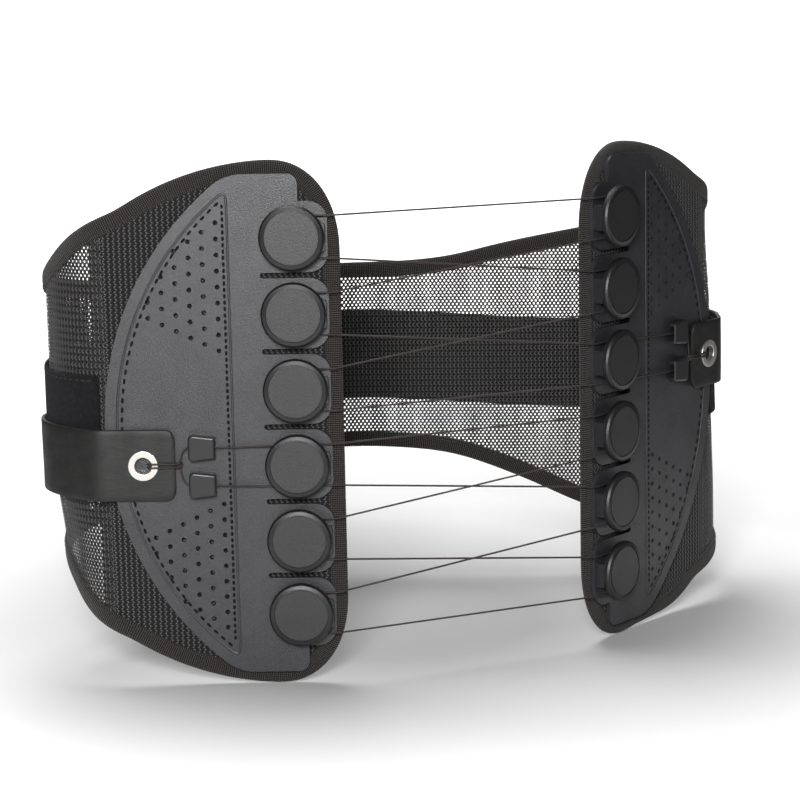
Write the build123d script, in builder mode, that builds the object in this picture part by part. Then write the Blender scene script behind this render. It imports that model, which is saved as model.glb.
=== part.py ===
"""Laced back brace: two back panels on a belt that closes at the front. Units are mm.

+X is the wearer's right as seen from behind, +Y is the front closure, +Z is up.
"""

import os
from math import cos, radians, sin, tan

from build123d import *

os.makedirs("parts", exist_ok=True)

# where the object sits
pulley_line_y = -98.45  # y of the line through the two columns of pulley faces
mid_height = 126.0  # height of the level the brace is mirrored in

# back panels
panel_angle = 26.0  # each panel swings this far forward of the flat
column_gap = 88.5  # mid-plane to a column of pulleys
panel_thickness = 2.6
panel_face = -7.2  # outer face of the panel, below the pulleys' outer faces
panel_arc_radius = 148.4
panel_reach = 91.0  # pulley column to the panel's outermost point
panel_half_height = 119.5
panel_inner_edge = -3.0
panel_top_fillet = 22.0

# lobes that carry the pulleys, and the slots between them
pulley_count = 6
pulley_pitch = 36.0
lobe_reach = 16.5
lobe_depth = 34.0
lobe_fillet = 9.0
slot_width = 2.6
slot_end = 15.5

# two fields of small vent holes in each panel
vent_radius = 1.15
vent_pitch = 7.55
vent_column_step = 6.6
vent_first_column = 35.7
vent_first_height = 36.8
vent_height_step = 3.2
vent_columns = (9, 8, 7, 6, 4, 2)

# textile behind the panels
lining_thickness = 3.0
binding_width = 8.5
binding_swell = 0.5
spine_edge = -22.0
spine_corner_height = 85.0
spine_knee_height = 114.0
crown_offset = 8.0
crown_height = 126.0
crown_radius = 135.0
flat_length = 83.0  # pulley column to where the belt starts to bend

# belt from the panels round to the front
belt_thickness = 2.2
side_radius = 40.0
side_exit_heading = 150.0
front_y = 99.901  # y of the belt's middle surface at the front closure
band_height = 50.0
band_thickness = 1.5
band_start_turn = 13.0
closure_gap = 1.0

# front closure flap
flap_height = 46.0
flap_thickness = 2.0
flap_half_turn = 30.0

# pulleys
cap_radius = 15.3
cap_thickness = 2.6
cap_bevel = 0.8
cap_groove_radius = 12.5
post_radius = 2.5
sheave_clearance = 0.08
sheave_radius = 11.2
sheave_half_thickness = 1.6
cord_level = -4.8  # middle of the sheaves, below the caps' outer faces
cord_radius = 0.45
cord_turn_radius = 10.0
groove_clearance = 0.3
cord_exit = -17.5
crossing_offset = 0.6
guard_half_height = 6.4

# pull tabs
tab_width = 34.5
tab_thickness = 2.0
tab_lift = 6.1  # middle of the tab above the middle of the lining, over the panel
tab_side_lift = 4.0  # the same where it lies on the band round the side
tab_settle_turn = 38.0
tab_end_turn = 98.0
tab_fillet = 6.0
eyelet_offset = 15.0
eyelet_radius = 7.2
eyelet_hole = 4.0
eyelet_wall = 0.7
knot_radius = 1.8
knot_offset = 2.1
bell_offset = 6.5  # tab's near end to the bell's wide end
bell_length = 12.8
bell_thickness = 4.6
bell_small_half = 5.2
bell_large_half = 6.7
left_tab_start = 58.2
left_tab_height = -17.2
left_bell_heights = (-9.0, -27.0)
right_tab_start = 69.4
right_tab_height = 10.0
right_bell_heights = (24.5, 5.0)

# worked out from the above
turn = radians(panel_angle)
lining_face = panel_face - panel_thickness
lining_middle = lining_face - lining_thickness / 2
pulley_heights = [pulley_pitch * (2.5 - i) for i in range(pulley_count)]


def at(side, u, z, h):
    """Point u mm out from the pulley column, z above the middle level and h above the pulley faces."""
    return Vector(
        side * (column_gap + u * cos(turn) + h * sin(turn)),
        pulley_line_y + u * sin(turn) - h * cos(turn),
        mid_height + z,
    )


panel_plane = Plane(
    origin=(column_gap, pulley_line_y, mid_height),
    x_dir=(cos(turn), sin(turn), 0),
    z_dir=(sin(turn), -cos(turn), 0),
)
side_plane = Plane(origin=(0, pulley_line_y, mid_height), x_dir=(0, 1, 0), z_dir=(1, 0, 0))
bend_start = at(1, flat_length, 0, lining_middle)
belt_start = bend_start.Y - pulley_line_y

# distance forward of the pulley line, height of the top edge and depth of the bottom edge
right_edges = (
    (belt_start - 6, 106.75, 106.75),
    (belt_start + 20, 91.5, 96.0),
    (belt_start + 52, 80.0, 92.0),
    (belt_start + 84, 71.0, 86.5),
    (belt_start + 96, 66.5, 75.5),
    (belt_start + 108, 61.5, 65.0),
    (belt_start + 121, 55.5, 56.5),
    (belt_start + 132, 53.0, 53.5),
    (belt_start + 170, 53.0, 53.0),
)
left_edges = (
    (belt_start - 6, 106.75, 106.75),
    (belt_start + 8, 97.5, 97.5),
    (belt_start + 20, 88.5, 88.5),
    (belt_start + 30, 80.5, 80.5),
    (belt_start + 43, 73.0, 73.0),
    (belt_start + 66, 64.5, 64.5),
    (belt_start + 80, 60.5, 60.5),
    (belt_start + 110, 55.0, 55.0),
    (belt_start + 170, 53.0, 53.0),
)

# side arc's centre, then the straight and the front radius that bring the belt square onto the mid-plane
leaving = radians(side_exit_heading)
side_centre = (bend_start.X - side_radius * sin(turn), bend_start.Y + side_radius * cos(turn))
leave_x = side_centre[0] + side_radius * sin(leaving)
leave_y = side_centre[1] - side_radius * cos(leaving)
front_radius = (front_y - leave_y + leave_x * tan(leaving)) / (sin(leaving) * tan(leaving) + 1 + cos(leaving))
front_straight = (front_radius * sin(leaving) - leave_x) / cos(leaving)


def textile_face(trim):
    """Outline of the textile behind a panel, trimmed all round but where the belt carries on."""
    with BuildSketch(panel_plane.offset(lining_face - lining_thickness)) as outline:
        with BuildLine():
            reach, radius = flat_length + 20 - crown_offset, crown_radius - trim
            end = crown_height - crown_radius + (radius**2 - reach**2) ** 0.5
            for way in (1, -1):
                low = (spine_edge + trim, way * spine_corner_height)
                knee = (spine_edge + 8.7 + 0.75 * trim, way * (spine_knee_height - 0.65 * trim))
                crown = (crown_offset, way * (crown_height - trim))
                Spline(low, knee, crown, tangents=((0, way), (1, 0)))
                RadiusArc(crown, (flat_length + 20, way * end), way * radius)
            Line((spine_edge + trim, spine_corner_height), (spine_edge + trim, -spine_corner_height))
            Line((flat_length + 20, end), (flat_length + 20, -end))
        make_face()
        with Locations(((spine_edge + flat_length) / 2, 0)):
            Rectangle(flat_length - spine_edge, 3 * crown_height, mode=Mode.INTERSECT)
    return outline


def belt_profile(edges_seen, trim):
    """Side view of the belt from the panels to the front, seen along X, less trim at each edge."""
    with BuildSketch(side_plane) as profile:
        with BuildLine():
            top = Spline(*[(y, up - trim) for y, up, down in edges_seen])
            bottom = Spline(*[(y, trim - down) for y, up, down in edges_seen])
            Line(top @ 0, bottom @ 0)
            Line(top @ 1, bottom @ 1)
        make_face()
    return profile


def belt_run(lift, thickness, start_turn=0.0):
    """Plan view of the right half of the belt, lift mm outside the middle of the lining."""
    heading = panel_angle + start_turn
    radius = side_radius + lift
    start = (
        side_centre[0] + radius * sin(radians(heading)),
        side_centre[1] - radius * cos(radians(heading)),
    )
    with BuildSketch() as run:
        with BuildLine() as path:
            side = JernArc(
                start, (cos(radians(heading)), sin(radians(heading))), radius, side_exit_heading - heading
            )
            line = Line(side @ 1, side @ 1 + (side % 1) * front_straight)
            JernArc(line @ 1, line % 1, front_radius + lift, 180 - side_exit_heading)
        trace(path.line, thickness)
    return run


# ---- back panels
with BuildPart() as right_back_panel:
    with BuildSketch(panel_plane.offset(lining_face)):
        with Locations((panel_reach - panel_arc_radius, 0)):
            Circle(panel_arc_radius)
        with Locations(((panel_inner_edge + 100) / 2, 0)):
            Rectangle(100 - panel_inner_edge, 2 * panel_half_height, mode=Mode.INTERSECT)
        corners = vertices().sort_by(Axis.X)
        fillet(corners[:2], 5)
        fillet(vertices().group_by(Axis.X)[-1], panel_top_fillet)
        with Locations(*[(lobe_depth / 2 - lobe_reach, z) for z in pulley_heights]):
            RectangleRounded(lobe_depth, pulley_pitch - slot_width, lobe_fillet)
        with Locations(*[(slot_end - 21, z - pulley_pitch / 2) for z in pulley_heights[:-1]]):
            SlotOverall(42, slot_width, mode=Mode.SUBTRACT)
        for column, holes in enumerate(vent_columns):
            u = vent_first_column + column * vent_column_step
            first = vent_first_height + column * vent_height_step
            places = [first + hole * vent_pitch for hole in range(holes)]
            with Locations(*[(u, way * z) for z in places for way in (1, -1)]):
                Circle(vent_radius, mode=Mode.SUBTRACT)
    extrude(amount=panel_thickness)
right_back_panel.part.label = "right_back_panel"
export_step(right_back_panel.part, "parts/right_back_panel.step")

with BuildPart() as left_back_panel:
    mirror(right_back_panel.part, about=Plane.YZ)
left_back_panel.part.label = "left_back_panel"
export_step(left_back_panel.part, "parts/left_back_panel.step")

# ---- lining and its bound edge
lining_area = textile_face(binding_width).sketch
binding_area = textile_face(0).sketch - lining_area

with BuildPart() as right_back_lining:
    extrude(lining_area, amount=lining_thickness, dir=panel_plane.z_dir)
right_back_lining.part.label = "right_back_lining"
export_step(right_back_lining.part, "parts/right_back_lining.step")

with BuildPart() as left_back_lining:
    mirror(right_back_lining.part, about=Plane.YZ)
left_back_lining.part.label = "left_back_lining"
export_step(left_back_lining.part, "parts/left_back_lining.step")

with BuildPart() as right_back_binding:
    extrude(binding_area, amount=lining_thickness, dir=panel_plane.z_dir)
right_back_binding.part.label = "right_back_binding"
export_step(right_back_binding.part, "parts/right_back_binding.step")

with BuildPart() as left_back_binding:
    mirror(right_back_binding.part, about=Plane.YZ)
left_back_binding.part.label = "left_back_binding"
export_step(left_back_binding.part, "parts/left_back_binding.step")

# ---- belt from the panels to the front
def belt_piece(plan, profile, cut=None):
    """Belt layer on the right side: its plan extruded up and cut to its side view."""
    with BuildPart() as layer:
        extrude(plan, amount=2 * mid_height, dir=(0, 0, 1))
        extrude(profile, amount=400, dir=(1, 0, 0), mode=Mode.INTERSECT)
        if cut is not None:
            extrude(cut, amount=400, dir=(1, 0, 0), mode=Mode.SUBTRACT)
        with Locations((0, front_y, mid_height)):
            Box(closure_gap, 40, 2 * mid_height, mode=Mode.SUBTRACT)
    return layer.part


wing_plan = belt_run(0, belt_thickness).sketch
bound_plan = belt_run(0, lining_thickness).sketch
band_plan = belt_run((belt_thickness + band_thickness) / 2, band_thickness, band_start_turn).sketch
right_whole, right_trimmed = belt_profile(right_edges, 0).sketch, belt_profile(right_edges, binding_width).sketch
left_whole, left_trimmed = belt_profile(left_edges, 0).sketch, belt_profile(left_edges, binding_width).sketch

with BuildPart() as right_side_wing:
    add(belt_piece(wing_plan, right_trimmed))
right_side_wing.part.label = "right_side_wing"
export_step(right_side_wing.part, "parts/right_side_wing.step")

with BuildPart() as left_side_wing:
    mirror(belt_piece(wing_plan, left_trimmed), about=Plane.YZ)
left_side_wing.part.label = "left_side_wing"
export_step(left_side_wing.part, "parts/left_side_wing.step")

with BuildPart() as right_wing_binding:
    add(belt_piece(bound_plan, right_whole, right_trimmed))
right_wing_binding.part.label = "right_wing_binding"
export_step(right_wing_binding.part, "parts/right_wing_binding.step")

with BuildPart() as left_wing_binding:
    mirror(belt_piece(bound_plan, left_whole, left_trimmed), about=Plane.YZ)
left_wing_binding.part.label = "left_wing_binding"
export_step(left_wing_binding.part, "parts/left_wing_binding.step")

with BuildPart() as right_loop_band:
    extrude(band_plan, amount=2 * mid_height, dir=(0, 0, 1))
    with Locations((0, 0, mid_height)):
        Box(600, 600, band_height, mode=Mode.INTERSECT)
    with Locations((0, front_y, mid_height)):
        Box(closure_gap, 40, 2 * mid_height, mode=Mode.SUBTRACT)
right_loop_band.part.label = "right_loop_band"
export_step(right_loop_band.part, "parts/right_loop_band.step")

with BuildPart() as left_loop_band:
    mirror(right_loop_band.part, about=Plane.YZ)
left_loop_band.part.label = "left_loop_band"
export_step(left_loop_band.part, "parts/left_loop_band.step")

# ---- closure flap over the joint at the front
with BuildPart() as closure_flap:
    flap_radius = front_radius + belt_thickness / 2 + band_thickness + 0.3 + flap_thickness / 2
    with BuildSketch():
        with BuildLine() as flap_path:
            CenterArc((0, front_y - front_radius), flap_radius, 90 - flap_half_turn, 2 * flap_half_turn)
        trace(flap_path.line, flap_thickness)
    extrude(amount=2 * mid_height)
    with BuildSketch(Plane.XZ.offset(-front_y - 40)):
        with Locations((0, mid_height)):
            RectangleRounded(2 * flap_radius * sin(radians(flap_half_turn)) - 2, flap_height, 8)
    extrude(amount=200, mode=Mode.INTERSECT)
closure_flap.part.label = "closure_flap"
export_step(closure_flap.part, "parts/closure_flap.step")

# ---- pulleys
with BuildPart() as right_pulley_caps:
    for z in pulley_heights:
        with BuildSketch(panel_plane.offset(-cap_thickness)):
            with Locations((0, z)):
                Circle(cap_radius)
        extrude(amount=cap_thickness)
        with BuildSketch(panel_plane.offset(panel_face)):
            with Locations((0, z)):
                Circle(post_radius)
        extrude(amount=-panel_face - cap_thickness)
    rims = edges().filter_by(GeomType.CIRCLE).filter_by(
        lambda edge: abs(panel_plane.to_local_coords(edge.center()).Z) < 0.01
    )
    chamfer(rims, cap_bevel)
    with BuildSketch(panel_plane):
        with Locations(*[(0, z) for z in pulley_heights]):
            Circle(cap_groove_radius + 0.4)
            Circle(cap_groove_radius - 0.4, mode=Mode.SUBTRACT)
    extrude(amount=-0.4, mode=Mode.SUBTRACT)
right_pulley_caps.part.label = "right_pulley_caps"
export_step(right_pulley_caps.part, "parts/right_pulley_caps.step")

with BuildPart() as left_pulley_caps:
    mirror(right_pulley_caps.part, about=Plane.YZ)
left_pulley_caps.part.label = "left_pulley_caps"
export_step(left_pulley_caps.part, "parts/left_pulley_caps.step")

with BuildPart() as right_cord_guards:
    with BuildSketch(panel_plane.offset(panel_face)):
        with Locations(*[(-cap_radius + 1.5, z) for z in pulley_heights]):
            RectangleRounded(3.0, 2 * guard_half_height, 0.8)
    extrude(amount=-panel_face - cap_thickness)
right_cord_guards.part.label = "right_cord_guards"
export_step(right_cord_guards.part, "parts/right_cord_guards.step")

with BuildPart() as left_cord_guards:
    mirror(right_cord_guards.part, about=Plane.YZ)
left_cord_guards.part.label = "left_cord_guards"
export_step(left_cord_guards.part, "parts/left_cord_guards.step")

for number, z in enumerate(pulley_heights, 1):
    with BuildPart() as right_sheave:
        groove_root = cord_turn_radius - cord_radius - groove_clearance
        lip = cord_radius + groove_clearance
        with BuildSketch(Plane(at(1, 0, z, cord_level), panel_plane.x_dir, panel_plane.y_dir)):
            with BuildLine():
                bore = post_radius + sheave_clearance
                Polyline(
                    (bore, -sheave_half_thickness),
                    (sheave_radius, -sheave_half_thickness),
                    (sheave_radius, -lip),
                    (groove_root, -lip),
                    (groove_root, lip),
                    (sheave_radius, lip),
                    (sheave_radius, sheave_half_thickness),
                    (bore, sheave_half_thickness),
                    close=True,
                )
            make_face()
        revolve(axis=Axis(at(1, 0, z, cord_level), panel_plane.z_dir))
    right_sheave.part.label = f"right_sheave_{number}"
    export_step(right_sheave.part, f"parts/right_sheave_{number}.step")
    with BuildPart() as left_sheave:
        mirror(right_sheave.part, about=Plane.YZ)
    left_sheave.part.label = f"left_sheave_{number}"
    export_step(left_sheave.part, f"parts/left_sheave_{number}.step")


# ---- pull tabs: strap, eyelet, cord, knot and the two bells
def tab_strap(start_u, height):
    with BuildPart() as strap:
        level = lining_middle + tab_lift
        first, leaving = at(1, start_u, 0, level), at(1, panel_reach + 1, 0, level)
        settled = radians(panel_angle + tab_settle_turn)
        radius = side_radius + tab_side_lift
        with BuildSketch():
            with BuildLine() as path:
                flat = Line((first.X, first.Y), (leaving.X, leaving.Y))
                landing = (side_centre[0] + radius * sin(settled), side_centre[1] - radius * cos(settled))
                Spline(flat @ 1, landing, tangents=(flat % 1, (cos(settled), sin(settled))))
                JernArc(landing, (cos(settled), sin(settled)), radius, tab_end_turn - tab_settle_turn)
            trace(path.line, tab_thickness)
        extrude(amount=2 * mid_height)
        with Locations((0, 0, mid_height + height)):
            Box(600, 600, tab_width, mode=Mode.INTERSECT)
        near = panel_plane.offset(level)
        ends = edges().filter_by(
            lambda edge: abs(edge.length - tab_thickness) < 0.01
            and abs(near.to_local_coords(edge.center()).X - start_u) < 0.1
        )
        fillet(ends, tab_fillet)
        with BuildSketch(near):
            with Locations((start_u + eyelet_offset, height)):
                Circle(eyelet_hole + eyelet_wall)
        extrude(amount=4, both=True, mode=Mode.SUBTRACT)
    return strap.part


def tab_eyelet(start_u, height):
    with BuildPart() as eyelet:
        top = lining_middle + tab_lift + tab_thickness / 2
        with BuildSketch(panel_plane.offset(top - tab_thickness)):
            with Locations((start_u + eyelet_offset, height)):
                Circle(eyelet_hole + eyelet_wall)
        extrude(amount=tab_thickness)
        with BuildSketch(panel_plane.offset(top)):
            with Locations((start_u + eyelet_offset, height)):
                Circle(eyelet_radius)
        extrude(amount=0.9)
        with BuildSketch(panel_plane.offset(top - tab_thickness)):
            with Locations((start_u + eyelet_offset, height)):
                Circle(eyelet_hole)
        extrude(amount=tab_thickness + 0.9, mode=Mode.SUBTRACT)
        lips = edges().filter_by(GeomType.CIRCLE).filter_by(
            lambda edge: abs(panel_plane.to_local_coords(edge.center()).Z - top - 0.9) < 0.01
        )
        fillet(lips, 0.4)
    return eyelet.part


def tab_bell(start_u, height):
    with BuildPart() as bell:
        wide = start_u - bell_offset
        narrow = wide - bell_length
        floor = panel_face + 0.3
        with BuildSketch(panel_plane.offset(floor)):
            with BuildLine():
                Polyline(
                    (narrow, height - bell_small_half),
                    (wide, height - bell_large_half),
                    (wide, height + bell_large_half),
                    (narrow, height + bell_small_half),
                    close=True,
                )
            make_face()
            fillet(vertices().group_by(Axis.X)[-1], 2.5)
        extrude(amount=bell_thickness)
        fillet(edges().filter_by(Plane(panel_plane.origin, panel_plane.x_dir, panel_plane.z_dir)), 1.2)
        mouth = Plane(at(1, narrow, height, floor + bell_thickness / 2), panel_plane.y_dir, -panel_plane.x_dir)
        with BuildSketch(mouth):
            SlotOverall(7.6, 2.8)
        extrude(amount=-5, mode=Mode.SUBTRACT)
    return bell.part


def tab_knot(start_u, height):
    with BuildPart() as knot:
        with Locations(at(1, start_u - knot_offset, height, panel_face + knot_radius + 0.3)):
            Sphere(knot_radius)
    return knot.part


def tab_cord(start_u, height, bell_heights):
    """Two strands from the eyelet to the knot, and a leg from the knot to each bell."""
    with BuildPart() as cord:
        above = lining_middle + tab_lift + tab_thickness / 2 + 0.9 + cord_radius + 0.1
        hole = start_u + eyelet_offset
        low = panel_face + knot_radius + 0.3
        for way in (1, -1):
            with BuildLine() as strand:
                Spline(
                    at(1, hole - 2.0, height + way * 0.7, above - 1.4),
                    at(1, hole - 3.6, height + way * 0.8, above - 0.25),
                    at(1, hole - 5.5, height + way * 0.9, above + 0.05),
                    at(1, start_u + 3, height + way * 0.8, above - 0.2),
                    at(1, start_u - 0.2, height + way * 0.7, above - 0.6),
                    at(1, start_u - knot_offset, height + way * 0.5, low),
                )
            with BuildSketch(Plane(strand.line @ 0, z_dir=strand.line % 0)):
                Circle(cord_radius)
            sweep(path=strand.line)
        for bell_height in bell_heights:
            with BuildLine() as leg:
                Spline(
                    at(1, start_u - knot_offset, height, low),
                    at(1, start_u - knot_offset - 2.4, (height + bell_height) / 2, low - 0.1),
                    at(1, start_u - bell_offset + 0.1, bell_height, low - 0.1),
                    tangents=((0, 0, 1 if bell_height > height else -1), -panel_plane.x_dir),
                )
            with BuildSketch(Plane(leg.line @ 0, z_dir=leg.line % 0)):
                Circle(cord_radius)
            sweep(path=leg.line)
        add(tab_knot(start_u, height), mode=Mode.SUBTRACT)
    return cord.part


with BuildPart() as right_pull_tab:
    add(tab_strap(right_tab_start, right_tab_height))
right_pull_tab.part.label = "right_pull_tab"
export_step(right_pull_tab.part, "parts/right_pull_tab.step")

with BuildPart() as left_pull_tab:
    mirror(tab_strap(left_tab_start, left_tab_height), about=Plane.YZ)
left_pull_tab.part.label = "left_pull_tab"
export_step(left_pull_tab.part, "parts/left_pull_tab.step")

with BuildPart() as right_tab_eyelet:
    add(tab_eyelet(right_tab_start, right_tab_height))
right_tab_eyelet.part.label = "right_tab_eyelet"
export_step(right_tab_eyelet.part, "parts/right_tab_eyelet.step")

with BuildPart() as left_tab_eyelet:
    mirror(tab_eyelet(left_tab_start, left_tab_height), about=Plane.YZ)
left_tab_eyelet.part.label = "left_tab_eyelet"
export_step(left_tab_eyelet.part, "parts/left_tab_eyelet.step")

with BuildPart() as right_tab_knot:
    add(tab_knot(right_tab_start, right_tab_height))
right_tab_knot.part.label = "right_tab_knot"
export_step(right_tab_knot.part, "parts/right_tab_knot.step")

with BuildPart() as left_tab_knot:
    mirror(tab_knot(left_tab_start, left_tab_height), about=Plane.YZ)
left_tab_knot.part.label = "left_tab_knot"
export_step(left_tab_knot.part, "parts/left_tab_knot.step")

with BuildPart() as right_tab_cord:
    add(tab_cord(right_tab_start, right_tab_height, right_bell_heights))
right_tab_cord.part.label = "right_tab_cord"
export_step(right_tab_cord.part, "parts/right_tab_cord.step")

with BuildPart() as left_tab_cord:
    mirror(tab_cord(left_tab_start, left_tab_height, left_bell_heights), about=Plane.YZ)
left_tab_cord.part.label = "left_tab_cord"
export_step(left_tab_cord.part, "parts/left_tab_cord.step")

for place, right_height, left_height in zip(
    ("upper", "lower"), right_bell_heights, left_bell_heights
):
    with BuildPart() as right_bell:
        add(tab_bell(right_tab_start, right_height))
    right_bell.part.label = f"right_{place}_bell"
    export_step(right_bell.part, f"parts/right_{place}_bell.step")
    with BuildPart() as left_bell:
        mirror(tab_bell(left_tab_start, left_height), about=Plane.YZ)
    left_bell.part.label = f"left_{place}_bell"
    export_step(left_bell.part, f"parts/left_{place}_bell.step")


# ---- lacing
def stop_height(number, way):
    return pulley_heights[number - 1] + way * cord_turn_radius


def round_cord(path):
    """Solid of a cord along one smooth line."""
    with BuildPart() as cord:
        with BuildSketch(Plane(path @ 0, z_dir=path % 0)):
            Circle(cord_radius)
        sweep(path=path)
    return cord.part


def half_strand(side, z, h_shift, far):
    """From a sheave's tangent point over the lobe's edge to the middle point far."""
    inward = at(side, -1, 0, 0) - at(side, 0, 0, 0)
    start = at(side, 0, z, cord_level)
    ease = start + inward * 4
    corner = at(side, cord_exit, z, cord_level + h_shift)
    along = (corner - ease).normalized()
    across = (far - corner).normalized()
    with BuildLine() as path:
        Bezier(start, ease, ease + along * 4)
        Line(ease + along * 4, corner - along * 3)
        Bezier(corner - along * 3, corner, corner + across * 3)
        Line(corner + across * 3, far)
    return path


def lacing(stops):
    """One cord: stops are (side, pulley number, way), in pairs joined straight across the gap."""
    with BuildPart() as cord:
        for index in range(0, len(stops) - 1, 2):
            (side_a, number_a, way_a), (side_b, number_b, way_b) = stops[index : index + 2]
            z_a, z_b = stop_height(number_a, way_a), stop_height(number_b, way_b)
            slope = (z_b > z_a) - (z_b < z_a)
            shift = crossing_offset * slope * (1 if side_b > side_a else -1)
            end_a = at(side_a, cord_exit, z_a, cord_level + shift)
            end_b = at(side_b, cord_exit, z_b, cord_level + shift)
            middle = (end_a + end_b) / 2
            for side, z in ((side_a, z_a), (side_b, z_b)):
                add(round_cord(half_strand(side, z, shift, middle).wires()[0]))
        for side, number, way in stops[1:-1:2]:
            z = pulley_heights[number - 1]
            with BuildLine() as wrap:
                ThreePointArc(
                    at(side, 0, z + cord_turn_radius, cord_level),
                    at(side, cord_turn_radius, z, cord_level),
                    at(side, 0, z - cord_turn_radius, cord_level),
                )
            add(round_cord(wrap.wires()[0]))
    return cord.part


upper, lower, right, left = 1, -1, 1, -1
with BuildPart() as upper_lacing:
    add(
        lacing(
            [
                (right, 3, upper), (left, 2, lower), (left, 2, upper), (right, 1, lower),
                (right, 1, upper), (left, 1, upper), (left, 1, lower), (right, 2, upper),
                (right, 2, lower), (left, 3, upper), (left, 3, lower), (right, 3, lower),
            ]
        )
    )
upper_lacing.part.label = "upper_lacing"
export_step(upper_lacing.part, "parts/upper_lacing.step")

with BuildPart() as lower_lacing:
    add(
        lacing(
            [
                (left, 4, upper), (right, 4, upper), (right, 4, lower), (left, 5, upper),
                (left, 5, lower), (right, 6, upper), (right, 6, lower), (left, 6, lower),
                (left, 6, upper), (right, 5, lower), (right, 5, upper), (left, 4, lower),
            ]
        )
    )
lower_lacing.part.label = "lower_lacing"
export_step(lower_lacing.part, "parts/lower_lacing.step")


def lead_strands(number, start_u, bell_heights):
    """From the guide pulley to just inside each bell."""
    with BuildPart() as leads:
        for way, height in zip((1, -1), bell_heights):
            mouth = start_u - bell_offset - bell_length
            with BuildLine() as path:
                Line(
                    at(1, 0.3, stop_height(number, way), cord_level),
                    at(1, mouth + 4.2, height, panel_face + 0.3 + bell_thickness / 2),
                )
            add(round_cord(path.wires()[0]))
    return leads.part


with BuildPart() as upper_lead_strands:
    add(lead_strands(3, right_tab_start, right_bell_heights))
upper_lead_strands.part.label = "upper_lead_strands"
export_step(upper_lead_strands.part, "parts/upper_lead_strands.step")

with BuildPart() as lower_lead_strands:
    mirror(lead_strands(4, left_tab_start, left_bell_heights), about=Plane.YZ)
lower_lead_strands.part.label = "lower_lead_strands"
export_step(lower_lead_strands.part, "parts/lower_lead_strands.step")
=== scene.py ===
"""Looks of the laced back brace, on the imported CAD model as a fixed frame. Lengths are mm until mapped."""
from math import acos, cos, hypot, pi, radians, sin, sqrt

import bmesh
import bpy
from mathutils import Matrix, Vector


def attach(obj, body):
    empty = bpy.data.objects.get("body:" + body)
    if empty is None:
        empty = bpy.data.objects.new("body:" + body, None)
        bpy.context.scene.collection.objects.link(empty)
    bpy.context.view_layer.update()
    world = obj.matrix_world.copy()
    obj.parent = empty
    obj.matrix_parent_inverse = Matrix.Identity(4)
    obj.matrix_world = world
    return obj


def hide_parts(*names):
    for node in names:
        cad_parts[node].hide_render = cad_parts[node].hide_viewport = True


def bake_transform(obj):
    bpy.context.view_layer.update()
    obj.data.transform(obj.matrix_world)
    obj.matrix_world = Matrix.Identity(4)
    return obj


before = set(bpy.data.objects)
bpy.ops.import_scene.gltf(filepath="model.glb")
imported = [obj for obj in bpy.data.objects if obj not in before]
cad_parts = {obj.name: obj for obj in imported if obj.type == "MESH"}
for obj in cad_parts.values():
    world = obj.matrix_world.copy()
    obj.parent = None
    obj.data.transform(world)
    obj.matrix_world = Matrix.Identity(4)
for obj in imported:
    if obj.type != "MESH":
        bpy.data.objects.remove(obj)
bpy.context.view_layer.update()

SIDES = {"left": -1, "right": 1}

# ------------------------------------------------------------------ the frame's own dimensions
TURN = radians(26)                        # each panel swings this far forward
GAP, LINE_Y, MID = 88.5, -98.45, 126.0    # the pulley columns in x and y, and the middle in z
MIDDLE = -11.3                            # middle of the lining, below the pulley faces
FACE = -7.2                               # outer face of the panels
FLAT = 83.0                               # pulley column to the bend
R_SIDE, R_FRONT = 40.0, 74.4149           # the belt's bends at the side and in front
STRAIGHT, EXIT = 142.4947, radians(150)   # the straight between them and its heading
PULLEYS = [90, 54, 18, -18, -54, -90]     # heights from the middle
WRAP = 10                                 # radius of a cord round its pulley
ARC_U = 91 - 148.4                        # centre of the panels' outer arc
BACK_EDGE = -22                           # the textile's edge at the spine
HALF_BELT, BAND_THICK = 1.1, 1.5
TAB_LIFT, TAB_SIDE_LIFT = 6.1, 4.0        # middle of a tab over the lining's middle, and round the side
EYELET = 15.0                             # a tab's near end to the middle of its eyelet
BELL_GAP, BELL_LENGTH = 6.5, 12.8         # a tab's near end to its bells
BELL_AXIS = FACE + 0.3 + 2.3
CORD, CORD_R, CORD_WIDTH = -4.8, 0.45, 0.0009    # level and radius of the cords, and their metres across
CORD_EXIT, CORD_TURN = -17.5, 5.4         # where they leave a panel, and the stretch they turn in


def at(side, u, z, h):
    """Panel coordinates to metres: u out from the pulleys, z up, h out of the panel."""
    return Vector((
        side * (GAP + u * cos(TURN) + h * sin(TURN)),
        LINE_Y + u * sin(TURN) - h * cos(TURN),
        MID + z,
    )) * 0.001


bend = at(1, FLAT, 0, MIDDLE) * 1000
SIDE_C = (bend.x - R_SIDE * sin(TURN), bend.y + R_SIDE * cos(TURN))
ARC1 = R_SIDE * (EXIT - TURN)
ARC2 = R_FRONT * (pi - EXIT)
END = FLAT + ARC1 + STRAIGHT + ARC2      # the belt's run from the pulleys to the front centre
FRONT_C = (
    SIDE_C[0] + (R_SIDE - R_FRONT) * sin(EXIT) + STRAIGHT * cos(EXIT),
    SIDE_C[1] - (R_SIDE - R_FRONT) * cos(EXIT) + STRAIGHT * sin(EXIT),
)


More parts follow.
